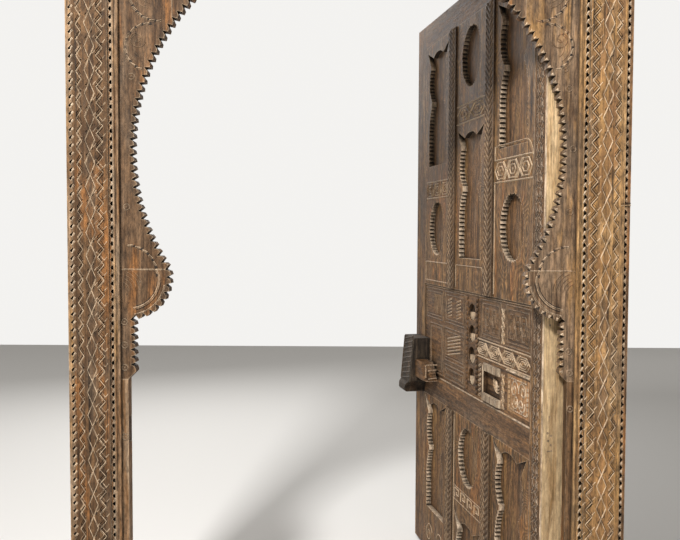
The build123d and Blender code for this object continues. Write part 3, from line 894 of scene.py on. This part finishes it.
def hexagon(centre, reach, rise, line, height=0.0032):
    """Six ridges around a point, with corners on its left and right."""
    corners = [(1, 0), (0.5, 1), (-0.5, 1), (-1, 0), (-0.5, -1), (0.5, -1)]
    points = [(centre[0] + reach * x, centre[1] + rise * y) for x, y in corners]
    return polyline(points, line, height, closed=True)


def on_end(along):
    """Place of a bench on a face that looks along the leaf, with x from the carved face to the back."""
    return bench_place(-leaf_out, upright, leaf_along, leaf_corner + leaf_along * along)


def eyes(low, high, count, rings=2):
    """A band of nested six-sided eyes between two lines, with crossed strands from eye to eye."""
    pitch = (high[0] - low[0]) / count
    middle = (low[1] + high[1]) / 2
    half = (high[1] - low[1]) / 2 - 0.011
    pieces = [bar((low[0], y), (high[0], y), bold, 0.003) for y in (low[1], high[1])]
    for step in range(count):
        x = low[0] + (step + 0.5) * pitch
        for turn in range(rings):
            share = 1 - turn * (0.45 if rings < 3 else 0.32)
            pieces += hexagon((x, middle), 0.45 * pitch * share, half * share, 0.0062 - 0.0008 * rings)
        pieces.append(knob((x, middle), 0.007, 0.004))
        if step:
            x -= pitch / 2
            for way, shift in ((-1, 0.010), (-1, -0.002), (1, 0)):
                foot = (x - 0.24 * way * pitch + shift, middle + half + 0.003)
                head = (x + 0.24 * way * pitch + shift, middle - half - 0.003)
                pieces.append(bar(foot, head, 0.0048, 0.003))
    return pieces


def framed(low, high, line=bold, height=0.003):
    """Four ridges around a panel."""
    corners = [low, (high[0], low[1]), high, (low[0], high[1])]
    return polyline(corners, line, height, closed=True)


def rope(x, low, high, radius, pitch=0.02):
    """A twisted column: slanting beads one above the other."""
    size = (radius * 1.15, pitch * 0.42, radius * 0.7)
    turn = (0, 0, math.radians(35))
    bead = shape(edit.primitive_uv_sphere_add, size, segments=8, ring_count=5, radius=1, rotation=turn)
    bead.data.transform(Matrix.Translation((x, low + pitch / 2, 0)))
    return [repeated(bead, pitch, int((high - low) / pitch))]


def rungs(x, low, high, half, pitch=0.019):
    """Short slanting strokes one above the other."""
    unit = bar((x - half, low + pitch * 0.3), (x + half, low + pitch * 0.8), pitch * 0.45, 0.004)
    return [repeated(unit, pitch, int((high - low) / pitch))]


def crossed(x, low, high, half, pitch=0.062):
    """Two thin strands that cross again and again, one above the other."""
    unit = [bar((x - half, low), (x + half, low + pitch / 2), 0.005, 0.004)]
    unit.append(bar((x + half, low), (x - half, low + pitch / 2), 0.005, 0.004))
    return [repeated(join(unit), pitch / 2, int((high - low) / pitch * 2))]


def dashes(low, high, pitch=0.0165):
    """Short raised strokes along the four sides of a panel."""
    pieces = []
    columns = int((high[0] - low[0]) / pitch)
    rows = int((high[1] - low[1]) / pitch)
    half = 0.005
    for y in (low[1], high[1]):
        for step in range(columns):
            x = low[0] + (step + 0.5) * pitch
            pieces.append(bar((x - half, y), (x + half, y), 0.0062, 0.0042))
    for x in (low[0], high[0]):
        for step in range(rows):
            y = low[1] + (step + 0.5) * pitch
            pieces.append(bar((x, y - half), (x, y + half), 0.0085, 0.0042))
    return pieces


def carve_fields():
    """Bands, borders and scrolls between the niches of the leaf's three columns."""
    bands = eyes((0.150, 1.640), (0.455, 1.712), 3) + eyes((0.556, 1.926), (0.872, 1.998), 2)
    bands += eyes((0.972, 1.665), (1.296, 1.745), 3)
    first = framed((0.145, 1.268), (0.455, 1.352))
    first += scroll((0.230, 0.100), 0.042, 20, 1) + scroll((0.370, 0.100), 0.042, 160, -1)
    second = [
        bar((0.556, 0.430), (0.872, 0.430), bold, 0.003),
        bar((0.556, 0.375), (0.872, 0.375), fine, 0.003),
        bar((0.558, 0.020), (0.558, 0.725), fine, 0.0025),
        bar((0.558, 1.262), (0.558, 1.350), fine, 0.0025),
        bar((0.872, 1.262), (0.872, 1.350), fine, 0.0025),
    ]
    second += polyline([(0.556, 1.352), (0.850, 1.352), (0.872, 1.325)], fine, 0.0025)
    for step in range(4):
        x = 0.572 + step * 0.076
        bands += polyline([(x, 0.384), (x, 0.421), (x + 0.048, 0.421), (x + 0.048, 0.397)], 0.006, 0.003)
        bands += polyline([(x + 0.048, 0.397), (x + 0.024, 0.397), (x + 0.024, 0.408)], 0.005, 0.003)
    third = [
        bar((0.974, 1.262), (0.974, 1.660), fine, 0.0025),
        bar((0.974, 1.745), (0.974, 1.795), fine, 0.0025),
        bar((0.974, 1.795), (1.240, 1.795), bold, 0.003),
        arc((1.240, 1.740), 0.055, 90, 0, bold, 0.003, steps=6),
    ]
    third += scroll((1.050, 0.100), 0.042, 20, 1) + scroll((1.200, 0.100), 0.042, 160, -1)
    for number, pieces in enumerate((first, second, third), start=1):
        lay(pieces, f"field_carving_{number}", "leaf", "panel_wood", on_leaf)
    lay(bands, "field_bands", "leaf", "line_wood", on_leaf)


# Nails on the leaf's hinge edge, from its carved face and from the ground
edge_nails = ((0.021, 1.195), (0.024, 0.902), (0.018, 0.851), (0.030, 0.842), (0.020, 0.826), (0.029, 0.812))


def carve_hinge_stile():
    """Strands that cross again and again along the hinge stile, a bright arris of painted highlight and the edge's
    nails.
    """
    edge = leaf_extent("hinge_stile")[1][0]
    middle, radius, pitch = 1.342, 0.022, 0.047
    foot, head = 0.05, 2.42
    first, last = 0.08, 2.40
    height = first + pitch / 2
    strand = [
        arc((middle - 0.004, height), radius, -80, 60, 0.010, 0.003, steps=7),
        arc((middle + 0.004, height + 0.012), radius, 120, 250, 0.010, 0.003, steps=7),
        chip((middle + 0.004, height), 0.022, 0.013, 0.003, 75),
        chip((middle - 0.018, height + 0.018), 0.016, 0.009, 0.0026, 250),
        arc((middle + 0.034, height + 0.004), 0.016, 110, 250, 0.008, 0.0026, steps=5),
        arc((middle - 0.030, height - 0.006), 0.015, -70, 70, 0.007, 0.0026, steps=5),
    ]
    row = repeated(join(strand), pitch, int((last - first) / pitch))
    inner = bar((1.303, foot), (1.303, head), fine, 0.002)
    lay([row, inner], "hinge_stile_carving", "leaf", "stile_carved", on_leaf)
    arris = bar((edge - 0.004, foot), (edge - 0.004, head), 0.011, 0.004)
    lay(arris, "hinge_stile_arris", "leaf", "pale_and_highlight_wood", on_leaf)
    holes = [Matrix.Translation((*spot, 0)) for spot in edge_nails]
    nails = [spread(knob((0, 0), 0.0046, 0.0010), holes), bar((0.016, 0.792), (0.034, 0.794), 0.005, 0.0010)]
    lay(nails, "hinge_stile_nails", "leaf", "post_wood", on_end(edge))


def strokes(low, high, pitch=0.014, lean=0.012):
    """Slanting strokes side by side between two corners of a panel."""
    count = int((high[1] - low[1] - lean) / pitch)
    return [
        bar((low[0], low[1] + step * pitch), (high[0], low[1] + step * pitch + lean), 0.006, 0.003)
        for step in range(count + 1)
    ]


def carve_lock_rail():
    """Panels, ropes and bands of the lock rail."""
    lens_x, lens_half, lens_floor = 0.740, 0.034, -0.0165
    lens_tops = [1.173 - 0.085 * step for step in range(4)]
    lift = Matrix.Translation((0, 0, leaf_extent("lock_rail")[1][2]))
    top = [bar((0.135, 1.243), (1.295, 1.243), bold, 0.004)]
    # A pale ledge along the mid rail: painted highlight on its lit top
    ledge = [
        bar((0.360, 0.8425), (0.860, 0.8425), 0.004, 0.006),
        bar((0.860, 0.8425), (1.295, 0.8425), 0.006, 0.006),
    ]
    panels = []
    for left, foot, right, head in (
        (0.842, 1.088, 1.035, 1.232), (1.080, 1.088, 1.290, 1.232), (0.412, 1.100, 0.660, 1.232),
        (0.145, 1.100, 0.385, 1.232), (0.412, 0.935, 0.660, 1.075), (0.412, 0.857, 0.660, 0.915),
        (0.205, 0.857, 0.385, 1.075),
    ):
        panels += framed((left, foot), (right, head))
        panels += framed((left + 0.016, foot + 0.014), (right - 0.016, head - 0.014), fine, 0.0022)
    cuts = strokes((0.450, 1.125), (0.500, 1.210)) + strokes((0.560, 1.125), (0.610, 1.210))
    cuts += strokes((0.450, 0.960), (0.610, 1.060), lean=0.03) + rungs(0.834, 0.855, 1.005, 0.012)
    cuts += crossed(1.062, 0.857, 1.005, 0.011) + crossed(1.058, 1.090, 1.232, 0.011)
    for x in (0.905, 0.972, 1.135, 1.185, 1.235):
        panels += hexagon((x, 1.160), 0.026, 0.042, 0.005) + hexagon((x, 1.160), 0.013, 0.022, 0.004)
    for x in (0.270, 0.288, 0.306, 0.324, 0.342, 0.360):
        panels.append(bar((x, 1.125), (x, 1.210), 0.006, 0.003))
    panels += dashes((0.430, 0.875), (0.642, 0.898))
    bands = eyes((0.795, 1.012), (1.292, 1.078), 4, 3)
    ropes = rope(0.800, 0.855, 1.240, 0.012) + rope(0.690, 0.855, 1.240, 0.008)
    flowers = dashes((1.118, 0.874), (1.270, 0.982)) + [bar((1.095, 1.004), (1.290, 1.004), 0.011, 0.006)]
    for x, start, turn in ((1.168, 20, 1), (1.226, 200, -1)):
        flowers += scroll((x, 0.948), 0.028, start, turn, line=0.0075, height=0.0035)
        flowers += scroll((x, 0.905), 0.024, start + 180, turn, line=0.0075, height=0.0035)
    ground = [bar((1.193, 0.862), (1.193, 0.993), 0.185, 0.0009)]
    # Painted shadow: dark patches in the upper half of each lens; the pale ribs below are a painted highlight
    shadow_patches = [bar((lens_x, y - 0.002), (lens_x, y + 0.026), 0.046, 0.001, lens_floor) for y in lens_tops]
    lenses = []
    for y in lens_tops:
        for step in range(-3, 4):
            x = lens_x + step * 0.009
            drop = lens_half * math.sqrt(1 - (step / 4.2) ** 2)
            lenses.append(bar((x, y - drop), (x, y - 0.002), 0.0070, 0.012, lens_floor))
    key = []
    for size in (0.018, 0.029, 0.040):
        key.append(arc((0.988, 0.938), size, 165, 320, 0.0075, 0.006, -0.014, steps=9))
    key.append(bar((0.866, 0.866), (0.866, 0.985), 0.006, 0.004))
    blocks = [block((0.874, 0.966), (1.034, 0.996), 0.009), block((0.862, 0.852), (1.038, 0.882), 0.010)]
    for pieces, name, finish in (
        (top, "lock_rail_lines", "panel_wood"), (panels, "lock_rail_panels", "rail_carved"),
        (bands, "lock_rail_eyes", "line_wood"), (ropes, "lock_rail_ropes", "rail_carved"),
        (lenses, "lens_ribs", "pale_and_highlight_wood"), (flowers, "lock_rail_flowers", "pale_and_highlight_wood"),
        (key, "key_niche_carving", "pale_and_highlight_wood"), (ground, "flower_ground", "ground_wood"),
        (blocks, "key_niche_blocks", "pale_wood"), (cuts, "lock_rail_strokes", "line_wood"),
        (ledge, "mid_rail_ledge", "pale_and_highlight_wood"), (shadow_patches, "lens_shadow_patches", "shade_and_crack_dark"),
    ):
        lay(pieces, name, "leaf", finish, on_leaf @ lift)


def carve_lock():
    """Slanting ridges on the lock case's sloping front, and the lines of the draw bolt's end."""
    low, high = leaf_extent("lock_case")
    foot, head = (0.088, 0.792), (0.070, 1.000)
    slope = math.atan2(head[0] - foot[0], head[1] - foot[1])
    tilt = Matrix.Translation((low[0], foot[1], foot[0])) @ Matrix.Rotation(slope, 4, "X")
    width, height = high[0] - low[0], head[1] - foot[1]
    pieces = []
    for step in range(9):
        y = 0.014 + step * 0.0235
        pieces.append(bar((0.012, y - 0.012), (width - 0.012, y + 0.014), 0.011, 0.004))
    pieces += [bar((x, 0.004), (x, height - 0.004), 0.006, 0.004) for x in (0.006, width - 0.006)]
    lay(pieces, "lock_case_ridges", "leaf", "lock_wood", on_leaf @ tilt)
    low, high = leaf_extent("draw_bolt")
    near, far, foot, head = -high[2], -low[2], low[1], high[1]
    lines = [
        bar((near + 0.003, head - 0.004), (far, head - 0.004), 0.006, 0.0022),
        bar((near + 0.004, foot + 0.018), (near + 0.004, head - 0.004), 0.006, 0.0022),
        bar((near + 0.014, head - 0.030), (far - 0.004, head - 0.027), 0.007, 0.0026),
        bar((near + 0.014, foot + 0.010), (far - 0.004, foot + 0.014), 0.004, 0.0020),
    ]
    lay(lines, "draw_bolt_lines", "bolt", "bolt_wood", on_end(high[0]))


def peg_back():
    """Peg heads where the battens are held to the boards."""
    pegs = []
    for batten in ("batten_low", "batten_middle", "batten_high"):
        low, high = leaf_extent(batten)
        for step in range(8):
            x = low[0] + 0.07 + step * (high[0] - low[0] - 0.14) / 7
            for share in (0.3, 0.7):
                pegs.append(Matrix.Translation((x, low[1] + share * (high[1] - low[1]), low[2])))
    lay(spread(knob((0, 0), 0.009, 0.004), pegs), "batten_pegs", "leaf", "stile_wood", on_leaf)


carve_muntins()
carve_fields()
carve_hinge_stile()
carve_lock_rail()
carve_lock()
peg_back()


def light_and_view():
    """Pale floor, soft lamps and a camera where the photograph was taken."""
    deselect()
    edit.primitive_plane_add(size=14, location=(0, 1, 0))
    floor = bpy.context.object
    floor.name = "floor"
    paint = bpy.data.materials.new("pale_floor")
    paint.use_nodes = True
    surface = paint.node_tree.nodes["Principled BSDF"]
    feed(paint.node_tree, surface, (("Base Color", (0.80, 0.78, 0.75, 1)), ("Roughness", 0.9)))
    floor.data.materials.append(paint)

    world = bpy.data.worlds.new("studio")
    world.use_nodes = True
    tree = world.node_tree
    glow = tree.nodes["Background"]
    feed(tree, glow, (("Color", (0.86, 0.83, 0.78, 1)), ("Strength", 0.28)))
    seen = add_node(tree, "ShaderNodeBackground", Color=(0.90, 0.89, 0.87, 1), Strength=1.0)
    rays = add_node(tree, "ShaderNodeLightPath").outputs
    either = calculate(tree, "MAXIMUM", rays["Is Camera Ray"], rays["Is Glossy Ray"])
    any_of = calculate(tree, "MAXIMUM", either, rays["Is Transmission Ray"])
    choice = add_node(tree, "ShaderNodeMixShader")
    feed(tree, choice, ((0, any_of), (1, glow.outputs[0]), (2, seen.outputs[0])))
    feed(tree, tree.nodes["World Output"], [("Surface", choice.outputs[0])])
    bpy.context.scene.world = world

    # Lamps as (name, place, aim, size, power)
    lamps = (
        ("key", (-1.5, -3.4, 4.8), (0.2, 0.3, 1.3), 0.6, 430),
        ("fill", (2.6, -3.8, 2.0), (0.2, 0, 1.3), 2.5, 40),
        ("back", (-1.5, 4.5, 3.5), (0.2, 0.5, 1.4), 2.5, 90),
    )
    for name, place, aim, size, power in lamps:
        lamp = bpy.data.lights.new(name, "AREA")
        lamp.size = size
        lamp.energy = power
        holder = bpy.data.objects.new(name, lamp)
        holder.location = place
        holder.rotation_euler = (Vector(aim) - Vector(place)).to_track_quat("-Z", "Y").to_euler()
        bpy.context.scene.collection.objects.link(holder)

    # Camera, solved from the frame's own lines
    camera_place = (0.00066, -2.4921, 1.4855)
    focal_pixels, image_width, sensor_width = 810, 680, 36
    yaw, pitch, roll = -0.009506, 0.046711, 0.003675
    ahead = Vector((math.sin(yaw) * math.cos(pitch), math.cos(yaw) * math.cos(pitch), -math.sin(pitch)))
    side = Vector((math.cos(yaw), -math.sin(yaw), 0))
    upward = side.cross(ahead)
    right = side * math.cos(roll) + upward * math.sin(roll)
    upward = upward * math.cos(roll) - side * math.sin(roll)
    lens = bpy.data.cameras.new("camera")
    lens.sensor_width = sensor_width
    lens.lens = focal_pixels / image_width * sensor_width
    camera = bpy.data.objects.new("camera", lens)
    camera.matrix_world = bench_place(right, upward, -ahead, camera_place)
    bpy.context.scene.collection.objects.link(camera)
    bpy.context.scene.camera = camera
    bpy.context.scene.view_settings.view_transform = "Standard"


light_and_view()
